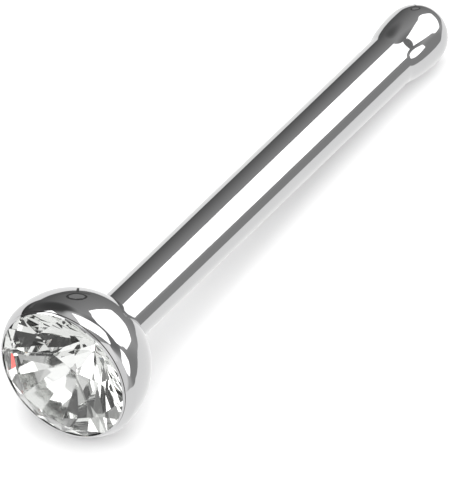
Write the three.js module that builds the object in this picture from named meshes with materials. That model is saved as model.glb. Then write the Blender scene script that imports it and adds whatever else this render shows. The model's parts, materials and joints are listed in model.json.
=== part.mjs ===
// A nose stud of the bone kind, in millimetres, +Z up: a steel ball head set with a round
// brilliant, pressed on a wire post that ends in a rounded retaining bulb. It lies on a level
// surface as it does by itself, on its head and on its bulb, with the head towards -X.
// All pieces share one axis, +Y out of the stone's table, and heights along it are from the
// head's centre.
import * as THREE from "three";

// Stone: a round brilliant.
const stoneDiameter = 2.06;
const tableDiameter = 1.17; // across the corners of the eight-sided table
const starTipDiameter = 1.59; // across the tips of the star facets
const lowerTipDiameter = 0.47; // across the inner tips of the lower girdle facets
const girdleThickness = 0.04;
const crownAngle = THREE.MathUtils.degToRad(34);
const pavilionAngle = THREE.MathUtils.degToRad(40.75);
const stoneTurn = THREE.MathUtils.degToRad(1.5); // of a kite facet from straight up
const mainFacets = 8; // kite facets on the crown, and main facets on the pavilion

// Setting: the ball head, with its rim turned in round the stone.
const headDiameter = 2.26;
const rimHeight = 0.24; // the rim's edge, level with the girdle, in front of the widest ring
const rimLand = 0.015; // width of the flat edge round the stone
const rimStart = 0.04; // height where the rim leaves the ball's round
const rimFulness = 0.085; // how far it keeps on from the ball before it turns in
const rimTurnIn = 0.08; // how far it runs straight in to its edge
const rimEdgeAngle = THREE.MathUtils.degToRad(42); // between its edge and the axis

// Post: wire of 20 gauge with the bulb turned on its end.
const wireDiameter = 0.8;
const bulbDiameter = 0.965;
const headToBulb = 9.145; // from the head's widest ring to the bulb's
const flareLength = 0.7; // from the plain wire to the bulb's widest ring
const flareSwell = 0.435; // how far the bulb's side keeps straight before it flares in
const flareFoot = 0.14; // how far the flare runs along the wire before it leaves it
const noseLength = 0.52; // from the bulb's widest ring to the tip
const noseFulness = 2.1; // 2 for an ellipse, and more for a blunter nose

// Clearances of the pressed joints.
const stoneFit = 0.015; // round the girdle
const seatClearance = 0.03; // behind the pavilion, along the axis
const postFit = 0.012; // round the wire in its hole
const culetClearance = 0.05; // between the stone's point and the wire's end

// Fineness of the turned surfaces.
const sides = 96;
const ringStep = THREE.MathUtils.degToRad(6);
const flareSteps = 8;
const noseSteps = 9;
const rimSteps = 5;

const stoneRadius = stoneDiameter / 2;
const boreRadius = stoneRadius + stoneFit;
const headRadius = headDiameter / 2;
const wireRadius = wireDiameter / 2;
const holeRadius = wireRadius + postFit;
const bulbRadius = bulbDiameter / 2;
const girdleTop = rimHeight;
const girdleBase = girdleTop - girdleThickness;
const culetHeight = girdleBase - stoneRadius * Math.tan(pavilionAngle);

// The head lies on one flat of its ring of facets, and the bulb on its widest ring.
// Both are on the surface where the axis falls from the head to the bulb by this angle.
const acrossFlats = Math.cos(Math.PI / sides);
const headBearing = headRadius * Math.cos(ringStep / 2) * acrossFlats;
const bulbBearing = bulbRadius * acrossFlats;
const restTilt =
  Math.asin(headBearing / Math.hypot(headToBulb, bulbBearing)) -
  Math.atan2(bulbBearing, headToBulb);

const steel = () =>
  new THREE.MeshStandardMaterial({ color: 0xc9cacc, roughness: 0.08, metalness: 1 });
const clearStone = () =>
  new THREE.MeshStandardMaterial({ color: 0xf3f5f4, roughness: 0.02, metalness: 0 });

// A solid turned round the axis from [radius, height] pairs, with a flat straight down.
function turned(profile) {
  const points = profile.map(([radius, height]) => new THREE.Vector2(radius, height));
  return new THREE.LatheGeometry(points, sides, Math.PI / sides);
}

// A ring of count points round the axis, the first one turned by start.
function ring(count, radius, height, start) {
  return Array.from({ length: count }, (_, i) => {
    const angle = stoneTurn + start + (i * 2 * Math.PI) / count;
    return new THREE.Vector3(radius * Math.sin(angle), height, radius * Math.cos(angle));
  });
}

// A closed geometry from flat convex facets, each a list of points anticlockwise from outside.
function faceted(facets) {
  const corners = facets.flatMap((facet) =>
    facet.slice(2).flatMap((corner, i) => [facet[0], facet[i + 1], corner]),
  );
  return new THREE.BufferGeometry().setFromPoints(corners);
}

// The ball's outline from angle to angle, both measured at its centre from the widest ring and
// positive towards the stone. A facet of the outline lies square over the bearing point.
function ballOutline(fromAngle, toAngle) {
  const first = Math.floor((fromAngle + restTilt) / ringStep + 0.5) + 0.5;
  const angles = [fromAngle];
  for (let a = first * ringStep - restTilt; a < toAngle; a += ringStep) angles.push(a);
  angles.push(toAngle);
  return angles.map((a) => [headRadius * Math.cos(a), headRadius * Math.sin(a)]);
}

// The head: a ball drilled through for the wire and bored to a conical seat for the stone.
function setting() {
  const back = -Math.acos(holeRadius / headRadius);
  const front = Math.asin(rimStart / headRadius);
  const seatAt = (radius) => culetHeight - seatClearance + radius * Math.tan(pavilionAngle);
  const outline = ballOutline(back, front);
  const ballEnd = new THREE.Vector2(...outline.at(-1));
  const rimEdge = new THREE.Vector2(boreRadius + rimLand, rimHeight);
  const along = new THREE.Vector2(-Math.sin(front), Math.cos(front));
  const inward = new THREE.Vector2(-Math.sin(rimEdgeAngle), Math.cos(rimEdgeAngle));
  const rim = new THREE.CubicBezierCurve(
    ballEnd,
    ballEnd.clone().addScaledVector(along, rimFulness),
    rimEdge.clone().addScaledVector(inward, -rimTurnIn),
    rimEdge,
  );
  return turned([
    ...outline,
    ...rim.getPoints(rimSteps).slice(1).map((p) => p.toArray()),
    [boreRadius, rimHeight],
    [boreRadius, seatAt(boreRadius)],
    [holeRadius, seatAt(holeRadius)],
    outline[0],
  ]);
}

// The wire, from its rounded nose through the bulb and its flare to the end in the head.
function post() {
  const blunt = (share) => share ** (2 / noseFulness);
  const nose = Array.from({ length: noseSteps - 1 }, (_, i) => {
    const angle = (1 - (i + 1) / noseSteps) * (Math.PI / 2);
    return [
      bulbRadius * blunt(Math.cos(angle)),
      -noseLength * blunt(Math.sin(angle)) - headToBulb,
    ];
  });
  // The flare leaves the wire in a short hollow curve and runs round into the bulb.
  const flare = new THREE.CubicBezierCurve(
    new THREE.Vector2(bulbRadius, -headToBulb),
    new THREE.Vector2(bulbRadius, flareSwell - headToBulb),
    new THREE.Vector2(wireRadius, flareLength - flareFoot - headToBulb),
    new THREE.Vector2(wireRadius, flareLength - headToBulb),
  );
  const wireEnd = culetHeight - culetClearance;
  return turned([
    [0, -headToBulb - noseLength],
    ...nose,
    ...flare.getPoints(flareSteps).map((p) => p.toArray()),
    [wireRadius, wireEnd],
    [0, wireEnd],
  ]);
}

// The brilliant. Its kite and main facets are planes through the girdle, and the tips of the
// star and lower girdle facets lie in those planes, half a facet round.
function stone() {
  const half = Math.PI / mainFacets;
  const crownRise = (reach) => girdleTop + (stoneRadius - reach) * Math.tan(crownAngle);
  const starTip = starTipDiameter / 2;
  const lowerTip = lowerTipDiameter / 2;
  const lowerRise = lowerTip * Math.cos(half) * Math.tan(pavilionAngle);

  const culet = new THREE.Vector3(0, culetHeight, 0);
  const table = ring(mainFacets, tableDiameter / 2, crownRise(tableDiameter / 2), 0);
  const star = ring(mainFacets, starTip, crownRise(starTip * Math.cos(half)), half);
  const upper = ring(2 * mainFacets, stoneRadius, girdleTop, 0);
  const lower = ring(2 * mainFacets, stoneRadius, girdleBase, 0);
  const inner = ring(mainFacets, lowerTip, culetHeight + lowerRise, half);

  const facets = [table];
  for (let i = 0; i < mainFacets; i++) {
    const next = (i + 1) % mainFacets;
    const before = (i + mainFacets - 1) % mainFacets;
    const [here, between, after] = [2 * i, 2 * i + 1, 2 * next];
    facets.push([table[i], star[i], table[next]]);
    facets.push([table[i], star[before], upper[here], star[i]]);
    facets.push([star[i], upper[here], upper[between]]);
    facets.push([star[i], upper[between], upper[after]]);
    facets.push([upper[here], lower[here], lower[between], upper[between]]);
    facets.push([upper[between], lower[between], lower[after], upper[after]]);
    facets.push([inner[i], lower[between], lower[here]]);
    facets.push([inner[i], lower[after], lower[between]]);
    facets.push([culet, inner[i], lower[here], inner[before]]);
  }
  return faceted(facets);
}

function piece(name, geometry, material) {
  const mesh = new THREE.Mesh(geometry, material);
  mesh.name = name;
  return mesh;
}

const stud = new THREE.Group();
stud.add(
  piece("setting", setting(), steel()),
  piece("post", post(), steel()),
  piece("stone", stone(), clearStone()),
);
stud.rotation.set(0, restTilt, Math.PI / 2);
stud.position.z = headBearing;

const noseStud = new THREE.Group();
noseStud.add(stud);
const reach = new THREE.Box3().setFromObject(noseStud, true);
stud.position.x -= (reach.min.x + reach.max.x) / 2;

export default noseStud;
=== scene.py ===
"""A nose stud of the bone kind, lying on a pale surface on its head and its retaining bulb.
Everything is in metres, +Z up, and the stud's axis falls a little from its head at -X to its bulb."""
import json

import bpy
import numpy as np
from mathutils import Matrix, Vector


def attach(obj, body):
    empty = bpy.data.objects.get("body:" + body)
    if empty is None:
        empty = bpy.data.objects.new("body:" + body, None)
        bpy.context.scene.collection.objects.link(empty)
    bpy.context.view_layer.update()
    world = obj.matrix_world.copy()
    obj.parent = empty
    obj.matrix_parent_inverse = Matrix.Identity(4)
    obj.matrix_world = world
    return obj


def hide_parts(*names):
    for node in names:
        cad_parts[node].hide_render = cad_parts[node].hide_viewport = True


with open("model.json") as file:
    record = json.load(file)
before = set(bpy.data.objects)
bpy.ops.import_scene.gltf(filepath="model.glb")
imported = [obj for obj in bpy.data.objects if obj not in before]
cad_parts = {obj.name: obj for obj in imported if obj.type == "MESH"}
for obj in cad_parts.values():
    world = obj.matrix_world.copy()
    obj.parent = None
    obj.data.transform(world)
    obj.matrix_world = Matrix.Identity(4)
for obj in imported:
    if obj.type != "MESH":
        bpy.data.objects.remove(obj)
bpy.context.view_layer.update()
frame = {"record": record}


# THE POST
# 20 gauge surgical steel wire, turned at its end to a rounded bulb that keeps the stud in a
# piercing, then mirror polished. The other end is pressed into the head.
WIRE_RADIUS = 0.400e-3
BULB_RADIUS = 0.4810e-3
BULB_HEIGHT = 0.4820e-3  # of the bulb's middle over the surface, so that its nose stays clear
HEAD_RADIUS = 1.1260e-3
HEAD_TO_BULB = 9.145e-3  # between the widest rings of the two
FLARE_LENGTH = 0.70e-3  # from the plain wire to the bulb's widest ring
FLARE_SWELL = 0.435e-3  # how far the bulb's side keeps straight before it flares in
FLARE_FOOT = 0.14e-3
NOSE_LENGTH = 0.52e-3  # from the bulb's widest ring to the tip
NOSE_FULNESS = 2.1  # 2 would be an ellipse
WIRE_END = -0.7375e-3  # along the axis from the head's centre

HEAD_CENTRE = Vector((frame["record"]["mounts"][0]["pos_m"][0], 0, HEAD_RADIUS))
TILT = np.arcsin((HEAD_RADIUS - BULB_HEIGHT) / HEAD_TO_BULB)
OUTWARD = np.array([-np.cos(TILT), 0, np.sin(TILT)])  # along the axis, out of the stone's table
UPRIGHT = np.array([np.sin(TILT), 0, np.cos(TILT)])
ACROSS = np.array([0, 1, 0])
TURNS = 224  # points in each ring of a turned surface
PATCH_SCALE = 900  # of the steel's slow patches, about a millimetre each
BUFFING_SCALE = 7000  # of the fine relief over them
POLISHED = [(0.60, 0.60, 0.605), (0.64, 0.64, 0.645)]
POLISHED_GLOSS = (0.03, 0.06)
BUFFING_DEPTH = 0.15e-6


def bend(corners, steps):
    """Points along a cubic curve: each corner weighted by its Bernstein polynomial of t."""
    t = np.linspace(0, 1, steps)[:, None]
    a, b, c, d = (np.array(corner) for corner in corners)
    return (1 - t) ** 3 * a + 3 * t * (1 - t) ** 2 * b + 3 * t**2 * (1 - t) * c + t**3 * d


def turned(name, profile, ring_closed=False):
    """A surface turned round the stud's axis. The point (radius, height) of the profile at turn a is
    head centre + height * outward + radius * (sin a * across + cos a * upright). A profile that
    starts and ends on the axis is closed by its poles, and a ring by joining its end to its start."""
    profile = np.asarray(profile, float)
    rings = profile if ring_closed else profile[1:-1]
    turn = np.arange(TURNS) * 2 * np.pi / TURNS
    round_axis = np.sin(turn)[:, None] * ACROSS + np.cos(turn)[:, None] * UPRIGHT
    points = (
        np.array(HEAD_CENTRE)
        + rings[:, None, 1:] * OUTWARD
        + rings[:, None, :1] * round_axis
    ).reshape(-1, 3)
    count = len(rings)
    row = np.arange(count if ring_closed else count - 1)[:, None]
    here = np.arange(TURNS)[None]
    after = (here + 1) % TURNS
    below, above = row * TURNS, (row + 1) % count * TURNS
    faces = np.stack([below + here, below + after, above + after, above + here], -1)
    faces = faces.reshape(-1, 4).tolist()
    if not ring_closed:
        poles = np.array(HEAD_CENTRE) + profile[[0, -1], 1:] * OUTWARD
        first, last = len(points), len(points) + 1
        points = np.concatenate([points, poles])
        top = (count - 1) * TURNS
        faces += np.stack([np.full(TURNS, first), after[0], here[0]], 1).tolist()
        faces += np.stack([np.full(TURNS, last), top + here[0], top + after[0]], 1).tolist()
    mesh = bpy.data.meshes.new(name)
    mesh.from_pydata(points.tolist(), [], faces)
    mesh.polygons.foreach_set("use_smooth", np.ones(len(faces), bool))
    piece = bpy.data.objects.new(name, mesh)
    bpy.context.scene.collection.objects.link(piece)
    return piece


def nodes_of(owner):
    """The nodes of a material or a world, and the function that links their sockets."""
    owner.use_nodes = True
    return owner.node_tree.nodes, owner.node_tree.links.new


def steel(name, tones, gloss, relief):
    """Bare metal: slow noise takes its colour from one tone to the other and its roughness from one
    end of its gloss to the other, and fine noise of that relief is what its tool has left."""
    material = bpy.data.materials.new(name)
    nodes, link = nodes_of(material)
    shader = nodes["Principled BSDF"]
    shader.inputs["Metallic"].default_value = 1
    place = nodes.new("ShaderNodeTexCoord")

    haze = nodes.new("ShaderNodeTexNoise")
    haze.inputs["Scale"].default_value = PATCH_SCALE
    haze.inputs["Detail"].default_value = 3
    link(place.outputs["Object"], haze.inputs["Vector"])

    colour = nodes.new("ShaderNodeMapRange")
    colour.data_type = "FLOAT_VECTOR"
    darkest, lightest = colour.inputs[9], colour.inputs[10]  # its To Min and To Max for vectors
    darkest.default_value, lightest.default_value = tones
    link(haze.outputs["Fac"], colour.inputs["Vector"])
    link(colour.outputs["Vector"], shader.inputs["Base Color"])

    shine = nodes.new("ShaderNodeMapRange")
    shine.inputs["To Min"].default_value, shine.inputs["To Max"].default_value = gloss
    link(haze.outputs["Fac"], shine.inputs["Value"])
    link(shine.outputs["Result"], shader.inputs["Roughness"])

    buffing = nodes.new("ShaderNodeTexNoise")
    buffing.inputs["Scale"].default_value = BUFFING_SCALE
    buffing.inputs["Detail"].default_value = 2
    link(place.outputs["Object"], buffing.inputs["Vector"])
    bump = nodes.new("ShaderNodeBump")
    bump.inputs["Strength"].default_value = 1
    bump.inputs["Distance"].default_value = relief
    link(buffing.outputs["Fac"], bump.inputs["Height"])
    link(bump.outputs["Normal"], shader.inputs["Normal"])
    return material


# The nose is a blunted half ellipse: its radius times cos a, and its length times sin a, with both
# the cosine and the sine raised to 2 / fulness.
angle = np.linspace(-np.pi / 2, 0, 49)
nose = np.stack(
    [
        BULB_RADIUS * np.cos(angle) ** (2 / NOSE_FULNESS),
        -NOSE_LENGTH * np.abs(np.sin(angle)) ** (2 / NOSE_FULNESS) - HEAD_TO_BULB,
    ],
    1,
)
nose[0, 0] = 0  # its tip is the pole
flare = bend(
    [
        (BULB_RADIUS, -HEAD_TO_BULB),
        (BULB_RADIUS, FLARE_SWELL - HEAD_TO_BULB),
        (WIRE_RADIUS, FLARE_LENGTH - FLARE_FOOT - HEAD_TO_BULB),
        (WIRE_RADIUS, FLARE_LENGTH - HEAD_TO_BULB),
    ],
    49,
)
wire = np.linspace((WIRE_RADIUS, FLARE_LENGTH - HEAD_TO_BULB), (WIRE_RADIUS, WIRE_END), 25)
post = turned("post_polished", [*nose, *flare[1:], *wire[1:], (0, WIRE_END)])
post.data.materials.append(steel("post_steel", POLISHED, POLISHED_GLOSS, BUFFING_DEPTH))
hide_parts("post")
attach(post, "root")


# THE HEAD
# A polished steel ball, drilled through for the wire and bored from the front to a conical seat.
# Its thin rim is rounded over and turned in round the stone, which is pressed against the seat.
HOLE_RADIUS = 0.412e-3
BORE_RADIUS = 1.045e-3
RIM_START = 0.040e-3  # height where the rim leaves the ball's round
RIM_FULNESS = 0.085e-3  # how far it keeps on from the ball before it turns in
RIM_SHOULDER = (1.068e-3, 0.199e-3)
LIP = (1.015e-3, 0.259e-3)  # the rim's inner edge, turned in over the girdle
LIP_UNDER = (1.017e-3, 0.251e-3)
LEDGE = 0.243e-3  # height of the bore's mouth, just clear of the girdle
SEAT_DEPTH = -0.7175e-3
SEAT_SLOPE = np.tan(np.radians(40.75))
# The bore and its seat are left rough from the drill, which is real. Their near-black colour is painted
# shade for the recess behind the stone.
BORE_PAINTED_SHADE = [(0.05, 0.048, 0.046), (0.09, 0.086, 0.08)]
DRILLED_GLOSS = (0.4, 0.6)
DRILL_MARKS = 2e-6

rim_turn = np.arcsin(RIM_START / HEAD_RADIUS)
ball_turn = np.linspace(-np.arccos(HOLE_RADIUS / HEAD_RADIUS), rim_turn, 90)
ball = HEAD_RADIUS * np.stack([np.cos(ball_turn), np.sin(ball_turn)], 1)
keep_on = ball[-1] + RIM_FULNESS * np.array([-np.sin(rim_turn), np.cos(rim_turn)])
rim = bend([ball[-1], keep_on, RIM_SHOULDER, LIP], 30)
lip = bend([rim[-3], rim[-1], LIP, LIP_UNDER], 8)
bore = [(BORE_RADIUS, z) for z in np.linspace(LEDGE, SEAT_DEPTH + BORE_RADIUS * SEAT_SLOPE, 5)]
seat = [(r, SEAT_DEPTH + r * SEAT_SLOPE) for r in np.linspace(BORE_RADIUS, HOLE_RADIUS, 12)[1:]]
hole = np.linspace(seat[-1], ball[0], 6)[1:-1]
outside = [*ball, *rim[1:-3], *lip]
inside = [*bore, *seat, *hole]
head = turned("head_polished", outside + inside, ring_closed=True)
head.data.materials.append(steel("head_steel", POLISHED, POLISHED_GLOSS, BUFFING_DEPTH))
# The inside faces get the bore's near-black painted shade, over its rough drilled finish.
head.data.materials.append(steel("bored_steel_painted_shade", BORE_PAINTED_SHADE, DRILLED_GLOSS, DRILL_MARKS))
is_inside = np.repeat(np.arange(len(outside) + len(inside)) >= len(outside), TURNS)
head.data.polygons.foreach_set("material_index", is_inside.astype(np.int32))
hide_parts("setting")
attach(head, "root")


# THE STONE
# A clear round brilliant of crystal glass, cut with flat facets and polished: a table, its star, kite
# and girdle facets in front, and a pavilion that runs to a point and is silvered, so that it throws
# the light back. The rim holds it down on its seat.
STONE_RADIUS = 1.03e-3
TABLE_RADIUS = 0.585e-3  # to the corners of the eight-sided table
STAR_TIP = 0.795e-3
LOWER_TIP = 0.235e-3
GIRDLE_TOP, GIRDLE_BASE = 0.240e-3, 0.200e-3
CROWN_SLOPE = np.tan(np.radians(34))
STONE_TURN = np.radians(1.5)  # of a kite facet from straight up
MAIN_FACETS = 8  # kite facets on the crown, and main facets on the pavilion
GLASS_TINT = (0.985, 0.99, 0.985, 1)
GLASS_INDEX = 1.52
SCUFF_SCALE = 2500  # of the patches where the polish is worn
FACET_WEAR = (0, 0.012)
TABLE_WEAR = (0.05, 0.12)  # the table, which stands out furthest, is the dullest
SILVERED = [(0.86, 0.87, 0.86), (0.94, 0.94, 0.93)]
SILVERED_GLOSS = (0.0, 0.02)
FACET, TABLE, BACK_FACET = 0, 1, 2  # the stone's material slots


def brilliant(name):
    """A round brilliant as flat polygons. Its corners lie on rings round the axis, at turn
    STONE_TURN + start + i * 2 pi / count, and the kite and main facets are planes through the
    girdle, so that a corner between two of them is as high as the plane cos(half a facet) out."""

    def crown(reach):
        """The height of the crown's planes, that far out square to them."""
        return GIRDLE_TOP + (STONE_RADIUS - reach) * CROWN_SLOPE

    half = np.pi / MAIN_FACETS
    culet = GIRDLE_BASE - STONE_RADIUS * SEAT_SLOPE
    rings = [
        (MAIN_FACETS, TABLE_RADIUS, crown(TABLE_RADIUS), 0),
        (MAIN_FACETS, STAR_TIP, crown(STAR_TIP * np.cos(half)), half),
        (2 * MAIN_FACETS, STONE_RADIUS, GIRDLE_TOP, 0),
        (2 * MAIN_FACETS, STONE_RADIUS, GIRDLE_BASE, 0),
        (MAIN_FACETS, LOWER_TIP, culet + LOWER_TIP * np.cos(half) * SEAT_SLOPE, half),
    ]
    corners = []
    for count, radius, height, start in rings:
        turn = (STONE_TURN + start + np.arange(count) * 2 * np.pi / count)[:, None]
        round_axis = np.sin(turn) * ACROSS + np.cos(turn) * UPRIGHT
        corners.append(np.array(HEAD_CENTRE) + height * OUTWARD + radius * round_axis)
    corners.append([np.array(HEAD_CENTRE) + culet * OUTWARD])
    counts = [count for count, _, _, _ in rings]
    table, star, upper, lower, inner, point = np.cumsum([0, *counts]).tolist()
    faces, finish = [list(range(table, star))], [TABLE]
    for i in range(MAIN_FACETS):
        after, before = (i + 1) % MAIN_FACETS, (i + MAIN_FACETS - 1) % MAIN_FACETS
        here, between, there = 2 * i, 2 * i + 1, 2 * after
        faces += [
            [table + i, star + i, table + after],
            [table + i, star + before, upper + here, star + i],
            [star + i, upper + here, upper + between],
            [star + i, upper + between, upper + there],
            [upper + here, lower + here, lower + between, upper + between],
            [upper + between, lower + between, lower + there, upper + there],
            [inner + i, lower + between, lower + here],
            [inner + i, lower + there, lower + between],
            [point, inner + i, lower + here, inner + before],
        ]
        finish += 6 * [FACET] + 3 * [BACK_FACET]
    mesh = bpy.data.meshes.new(name)
    mesh.from_pydata(np.concatenate(corners).tolist(), [], faces)
    mesh.polygons.foreach_set("material_index", finish)
    piece = bpy.data.objects.new(name, mesh)
    bpy.context.scene.collection.objects.link(piece)
    return piece


def crystal(name, wear):
    """Clear glass whose roughness runs from one end of its wear to the other in patches of noise."""
    material = bpy.data.materials.new(name)
    nodes, link = nodes_of(material)
    shader = nodes["Principled BSDF"]
    shader.inputs["Base Color"].default_value = GLASS_TINT
    shader.inputs["Transmission Weight"].default_value = 1
    shader.inputs["IOR"].default_value = GLASS_INDEX
    place = nodes.new("ShaderNodeTexCoord")
    scuffs = nodes.new("ShaderNodeTexNoise")
    scuffs.inputs["Scale"].default_value = SCUFF_SCALE
    link(place.outputs["Object"], scuffs.inputs["Vector"])
    polish = nodes.new("ShaderNodeMapRange")
    polish.inputs["To Min"].default_value, polish.inputs["To Max"].default_value = wear
    link(scuffs.outputs["Fac"], polish.inputs["Value"])
    link(polish.outputs["Result"], shader.inputs["Roughness"])
    return material


stone = brilliant("stone_cut")
stone.data.materials.append(crystal("crystal_facets", FACET_WEAR))
stone.data.materials.append(crystal("crystal_table", TABLE_WEAR))
stone.data.materials.append(steel("silvered_back", SILVERED, SILVERED_GLOSS, 0))
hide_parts("stone")
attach(stone, "root")


# THE SURFACE
# A plain white glossy card that the stud is laid on, which is no part of the stud. It catches the
# stud's shadow, and the steel and the stone show a panel below it in its place.
CARD_REACH = 0.4  # from its middle to its edges
CARD_WHITE = (0.9, 0.9, 0.9, 1)
CARD_GLOSS = (0.25, 0.35)
FIBRE_SCALE = 1500


def white_card():
    """White card whose roughness its fibres, a fine noise, take from one end of its gloss to the other."""
    material = bpy.data.materials.new("white_card")
    nodes, link = nodes_of(material)
    shader = nodes["Principled BSDF"]
    shader.inputs["Base Color"].default_value = CARD_WHITE
    place = nodes.new("ShaderNodeTexCoord")
    fibres = nodes.new("ShaderNodeTexNoise")
    fibres.inputs["Scale"].default_value = FIBRE_SCALE
    link(place.outputs["Object"], fibres.inputs["Vector"])
    gloss = nodes.new("ShaderNodeMapRange")
    gloss.inputs["To Min"].default_value, gloss.inputs["To Max"].default_value = CARD_GLOSS
    link(fibres.outputs["Fac"], gloss.inputs["Value"])
    link(gloss.outputs["Result"], shader.inputs["Roughness"])
    return material


card_mesh = bpy.data.meshes.new("surface")
card_corners = CARD_REACH * np.array([(-1, -1, 0), (1, -1, 0), (1, 1, 0), (-1, 1, 0)])
card_mesh.from_pydata(card_corners.tolist(), [], [(0, 1, 2, 3)])
surface = bpy.data.objects.new("surface", card_mesh)
bpy.context.scene.collection.objects.link(surface)
surface.data.materials.append(white_card())
surface.visible_glossy = False
surface.visible_transmission = False


# THE LIGHT
# Large softboxes in a dim grey studio stand round the stud. A ring on its arm and a tall stand show
# dark in the steel among them, and a bright panel below shows in it where the card would.
LIGHT_DISTANCE = 0.3
STAND_DISTANCE = 0.28  # of the ring and the tall stand, in front of the softboxes
INNER_DISTANCE = 0.26  # of the ring's lighter middle and its arm, in front of both
GLEAM_DISTANCE = 0.27
SOFTBOX_GLOW = 2.4
GLEAM_GLOW = 2
POST_WAY = -OUTWARD
FACING = np.array([0.0600, -0.5340, 0.8435])  # square to the post, on the camera's side
ASIDE = np.cross(POST_WAY, FACING)  # square to both, to the camera's lower right


def toward(from_post, round_post):
    """The direction cos g * post way + sin g * (cos b * facing + sin b * aside), g degrees from the
    post's way and b degrees round it."""
    g, b = np.radians([from_post, round_post])
    return np.cos(g) * POST_WAY + np.sin(g) * (np.cos(b) * FACING + np.sin(b) * ASIDE)


def panel(name, corners, strength, colour=(1, 1, 1), distance=LIGHT_DISTANCE):
    """A glowing panel that fans out from its middle to its corners, all at one distance. A corner is
    the two angles of its direction, from the post and round it."""
    ring = distance * np.array([toward(*corner) for corner in corners])
    middle = ring.mean(0) * distance / np.linalg.norm(ring.mean(0))
    count = len(corners)
    mesh = bpy.data.meshes.new(name)
    faces = [(i, (i + 1) % count, count) for i in range(count)]
    mesh.from_pydata([*ring.tolist(), middle.tolist()], [], faces)
    patch = bpy.data.objects.new(name, mesh)
    bpy.context.scene.collection.objects.link(patch)
    material = bpy.data.materials.new(name)
    nodes, link = nodes_of(material)
    nodes.remove(nodes["Principled BSDF"])
    glow = nodes.new("ShaderNodeEmission")
    glow.inputs["Color"].default_value = (*colour, 1)
    glow.inputs["Strength"].default_value = strength
    link(glow.outputs["Emission"], nodes["Material Output"].inputs["Surface"])
    mesh.materials.append(material)
    patch.visible_camera = False
    patch.visible_diffuse = False
    return patch


panel(
    "main_softbox",
    [(17, -38), (32, -39), (48, -42), (50, -35), (60, -25), (70, -18), (70, 18), (60, 24), (50, 30),
     (48, 38), (30, 42), (17, 20)],
    SOFTBOX_GLOW,
)
panel(
    "upper_softbox",
    [(83, -11), (83, -2), (103, 14), (107, 14), (121, -20), (123, -35), (101, -52), (97, -40)],
    SOFTBOX_GLOW,
)
panel(
    "side_softbox",
    [(72, 27), (62, 36), (60, 49), (85, 62), (92, 64), (99, 58), (102, 44), (97, 38)],
    SOFTBOX_GLOW,
)
panel(
    "far_softbox",
    [(107, -102), (107, -80), (123, -61), (140, -70), (130, -110)],
    SOFTBOX_GLOW,
)
panel(
    "front_softbox",
    [(158, 18), (137, 37), (114, 40), (110, 14), (125, 3), (139, -12)],
    1.1,
)
panel(
    "low_softbox",
    [(120, -121), (142, -123), (175, -134), (156, -43), (138, -89), (119, -96)],
    1.0,
)
panel(
    "ring_stand",
    [(27, -89), (27, -100), (29, -106), (32, -108), (35, -106), (39, -101), (42, -95), (44, -87),
     (44, -80), (41, -74), (36, -73), (31, -78)],
    0.07,
    distance=STAND_DISTANCE,
)
panel(
    "ring_middle",
    [(29, -88), (29, -97), (32, -102), (35, -101), (40, -95), (42, -87), (40, -79), (33, -79)],
    0.28,
    distance=INNER_DISTANCE,
)
panel(
    "ring_arm",
    [(37, -158), (37.5, -161), (30, -116), (31.5, -114)],
    0.1,
    distance=INNER_DISTANCE,
)
panel(
    "tall_stand",
    [(24, -118), (45, -115), (70, -114), (88, -114), (88, -109), (70, -107), (45, -107), (24, -108)],
    0.14,
    distance=STAND_DISTANCE,
)
panel(
    "bright_card",
    [(14, 78), (25, 69), (31, 66), (37, 68), (45, 76), (50, 80), (96, 80), (125, 95), (150, 120),
     (160, 150), (150, -160), (125, -135), (110, -128), (85, -124), (60, -119), (40, -121),
     (25, -140), (12, 160)],
    1.02,
)

# Small coloured panels, which the steel doesn't show, give the stone its traces of fire.
for name, corners, colour in [
    ("red_gleam", [(153, -17), (150, -5), (144, -12), (146, -21)], (1, 0.04, 0.02)),
    ("blue_gleam", [(134, 45), (132, 45), (131, 40), (133, 40)], (0.04, 0.09, 0.4)),
    ("amber_gleam", [(150, 49), (146, 49), (145, 41), (149, 39)], (1, 0.6, 0.15)),
]:
    gleam = panel(name, corners, GLEAM_GLOW, colour, GLEAM_DISTANCE)
    gleam.visible_glossy = False

# An even fill for the card alone, which mirrors don't show.
fill_data = bpy.data.lights.new("fill", "AREA")
fill_data.size = 1.2
fill_data.energy = 11.4
fill = bpy.data.objects.new("fill", fill_data)
fill.location = (-0.2, -0.13, 0.47)
fill.visible_glossy = False
fill.visible_transmission = False
fill.visible_camera = False
bpy.context.scene.collection.objects.link(fill)

# Black screens on the card before the stone, which alone shows them, for its black facets.
STONE_SPOT = (-4.9e-3, 0, 0)  # on the card, below the stone
SCREEN_GLOW = 0.03
SCREENS = [  # the degrees that it runs through, its distance from the spot and its height
    ((19, 41), 2.3e-3, 1.9e-3),
    ((43, 52), 1.9e-3, 1.3e-3),
    ((63, 68), 2.6e-3, 1.6e-3),
]


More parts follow.
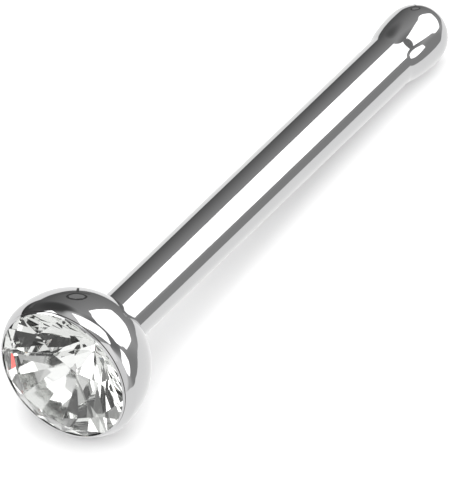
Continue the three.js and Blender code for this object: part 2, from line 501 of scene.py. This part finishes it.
def black_screen(name, turns, way_off, height):
    """An upright screen, dark towards the stone and clear from behind. It stands on a few points at
    spot - way off * (cos a, sin a), for turns a from one end to the other."""
    turn = np.radians(np.linspace(*turns, num=4))
    feet = STONE_SPOT - way_off * np.stack([np.cos(turn), np.sin(turn), np.zeros_like(turn)], 1)
    points = np.concatenate([feet, feet + (0, 0, height)])
    count = len(feet)
    faces = [(i + 1, i, count + i, count + i + 1) for i in range(count - 1)]
    mesh = bpy.data.meshes.new(name)
    mesh.from_pydata(points.tolist(), [], faces)
    screen = bpy.data.objects.new(name, mesh)
    bpy.context.scene.collection.objects.link(screen)
    material = bpy.data.materials.new(name)
    nodes, link = nodes_of(material)
    nodes.remove(nodes["Principled BSDF"])
    glow = nodes.new("ShaderNodeEmission")
    glow.inputs["Strength"].default_value = SCREEN_GLOW
    clear = nodes.new("ShaderNodeBsdfTransparent")
    side = nodes.new("ShaderNodeNewGeometry")
    faced = nodes.new("ShaderNodeMixShader")
    link(side.outputs["Backfacing"], faced.inputs["Fac"])
    link(glow.outputs["Emission"], faced.inputs[1])
    link(clear.outputs["BSDF"], faced.inputs[2])
    link(faced.outputs["Shader"], nodes["Material Output"].inputs["Surface"])
    mesh.materials.append(material)
    screen.visible_camera = False
    screen.visible_diffuse = False
    screen.visible_glossy = False
    screen.visible_shadow = False


for number, screen_sizes in enumerate(SCREENS):
    black_screen(f"black_screen_{number}", *screen_sizes)

# The grey of the studio: a little lighter overhead and towards the camera's right, with soft dark
# and light regions where stands, screens and the far wall are.
SKY_LEVEL, SKY_RISE, SKY_BACK = 0.319, 0.101, -0.257  # at the horizon, by height and by depth
SKY_REGIONS = [  # angle from the post, turn round it, degrees it fills and fades out by, and its level
    (85, 0, 20, 45, 0.22),
    (88, -76, 8, 34, 0.07),
    (150, -60, 25, 48, 0.6),
    (140, 60, 36, 45, 0.95),
    (110, -42, 10, 24, 0.75),
    (130, -71, 6, 15, 0.03),
    (135, -52, 4, 12, 0.06),
    (60, 64, 14, 34, 0.32),
]
studio = bpy.data.worlds.new("studio")
bpy.context.scene.world = studio
nodes, link = nodes_of(studio)
direction = nodes.new("ShaderNodeTexCoord").outputs["Generated"]
slope = nodes.new("ShaderNodeVectorMath")
slope.operation = "DOT_PRODUCT"
slope.inputs[1].default_value = (0, SKY_BACK, SKY_RISE)
link(direction, slope.inputs[0])
grey = nodes.new("ShaderNodeMath")
grey.operation = "ADD"
grey.inputs[1].default_value = SKY_LEVEL
link(slope.outputs["Value"], grey.inputs[0])
sky = grey.outputs["Value"]
for from_post, round_post, filled, faded, level in SKY_REGIONS:
    near = nodes.new("ShaderNodeVectorMath")
    near.operation = "DOT_PRODUCT"
    near.inputs[1].default_value = toward(from_post, round_post)
    link(direction, near.inputs[0])
    share = nodes.new("ShaderNodeMapRange")
    share.interpolation_type = "SMOOTHSTEP"
    share.inputs["From Min"].default_value = np.cos(np.radians(faded))
    share.inputs["From Max"].default_value = np.cos(np.radians(filled))
    link(near.outputs["Value"], share.inputs["Value"])
    region = nodes.new("ShaderNodeMix")
    mixed_by, outside_it, inside_it = region.inputs[0], region.inputs[2], region.inputs[3]
    link(share.outputs["Result"], mixed_by)
    link(sky, outside_it)
    inside_it.default_value = level
    sky = region.outputs[0]
link(sky, nodes["Background"].inputs["Color"])


# THE CAMERA
# A very long lens at the photograph's angle to the stud, so far off that the stud shows almost no
# perspective.
LENS = 1400
SENSOR_WIDTH = 36
FRAME_HEIGHT = 7.0e-3  # at the depth of the stud's middle
MIDDLE_DEPTH = 3.05e-3  # of the stud's middle, further from the camera than the head's centre
AIM_RIGHT, AIM_UP = 2.1743e-3, 1.7303e-3  # from the head's centre to the picture's middle
RIGHT = np.array([0.5373, -0.8434, 0])
UP = np.array([0.5687, 0.3623, 0.7385])
BACK = np.cross(RIGHT, UP)

camera_data = bpy.data.cameras.new("camera")
camera_data.lens = LENS
camera_data.sensor_width = SENSOR_WIDTH
camera_data.clip_start = 0.001
camera_data.clip_end = 10
camera = bpy.data.objects.new("camera", camera_data)
bpy.context.scene.collection.objects.link(camera)
aim = np.array(HEAD_CENTRE) + AIM_RIGHT * RIGHT + AIM_UP * UP
stand = aim + BACK * (FRAME_HEIGHT * LENS / SENSOR_WIDTH - MIDDLE_DEPTH)
camera_place = np.stack([RIGHT, UP, BACK, stand], 1)
camera.matrix_world = Matrix([*camera_place.tolist(), (0, 0, 0, 1)])
bpy.context.scene.camera = camera

bpy.context.scene.view_settings.view_transform = "Standard"
bpy.context.scene.cycles.max_bounces = 24
bpy.context.scene.cycles.transmission_bounces = 24
bpy.context.scene.cycles.glossy_bounces = 12
